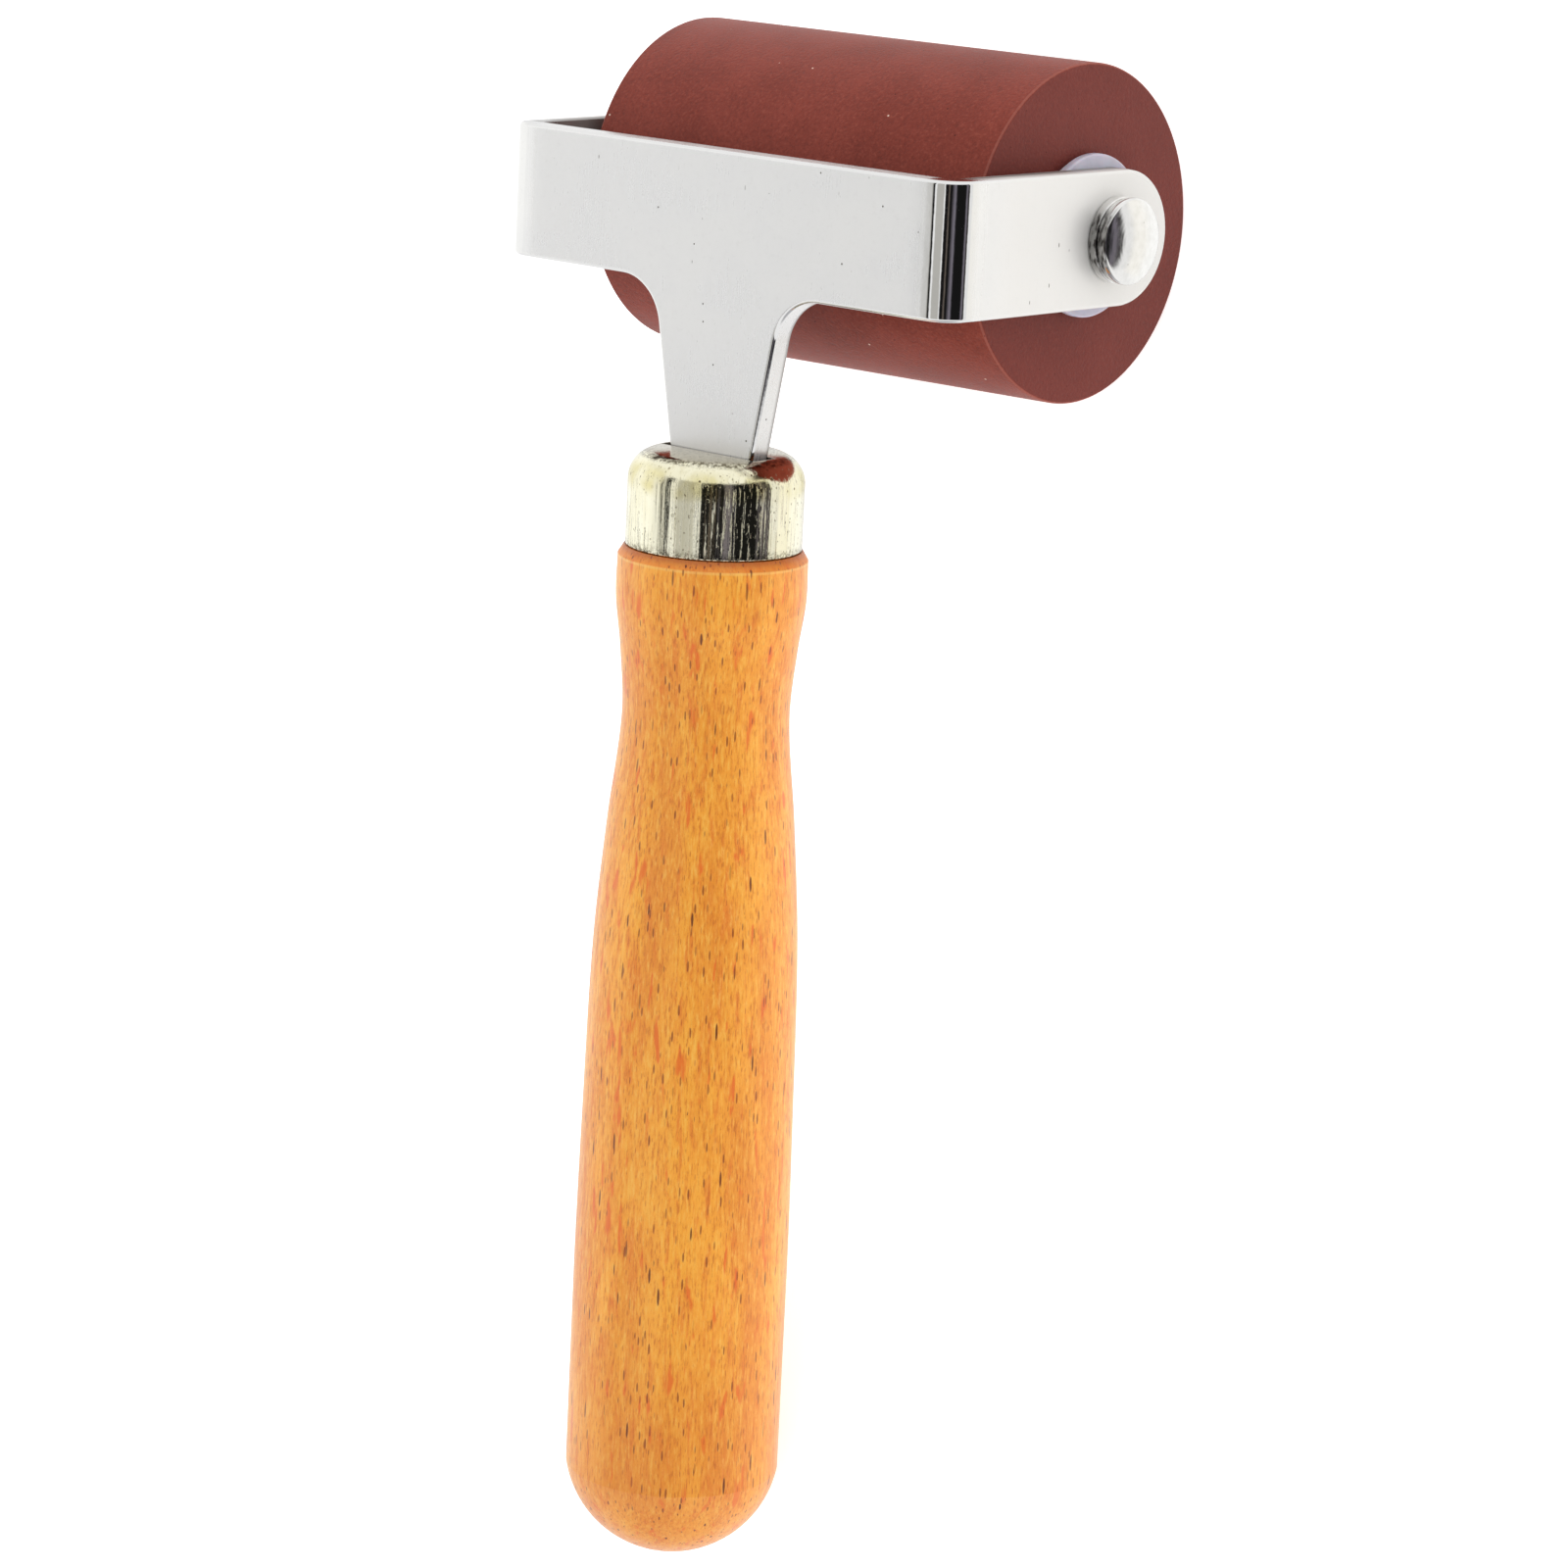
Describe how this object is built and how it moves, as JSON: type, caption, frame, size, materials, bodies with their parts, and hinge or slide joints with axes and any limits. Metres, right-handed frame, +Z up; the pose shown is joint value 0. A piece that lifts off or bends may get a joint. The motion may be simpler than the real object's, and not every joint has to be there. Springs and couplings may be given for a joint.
{
  "type": "rubber brayer",
  "caption": "Hand brayer: a rubber roller spinning in a bent plated steel yoke, on a turned wooden handle with a brass ferrule.",
  "frame": {"origin": "on the table, at the centre of the footprint of the tool lying on its roller and butt", "axes": "+X along the axle to the right-hand cap, +Y level from the handle towards the roller, +Z up"},
  "size_m": [0.0774, 0.1864, 0.0509],
  "materials": {
    "rubber": "matt red-brown moulded rubber",
    "core_plastic": "plain moulded plastic",
    "white_nylon": "frosted white nylon",
    "steel_rod": "drawn steel",
    "bright_cap": "bright nickel plate",
    "spring_steel": "dark spring steel",
    "nickel_plate": "satin-bright nickel plate with fine scuffs",
    "brass": "drawn brass with fine lengthwise draw lines",
    "lacquered_beech": "clear-lacquered orange-toned beech"
  },
  "bodies": {
    "frame": {"yoke": "nickel_plate", "ferrule": "brass", "handle": "lacquered_beech", "axle_rod": "steel_rod", "left_cap": "bright_cap", "right_cap": "bright_cap", "left_lock_washer": "spring_steel", "right_lock_washer": "spring_steel"},
    "roller": {"rubber_sleeve": "rubber", "core_tube": "core_plastic", "left_bush": "white_nylon", "right_bush": "white_nylon"}
  },
  "joints": [
    {"name": "roller_spin", "type": "hinge", "parent": "frame", "child": "roller", "pos_m": [0, 0.07324, 0.02], "axis": [1, 0, 0], "continuous": true}
  ]
}
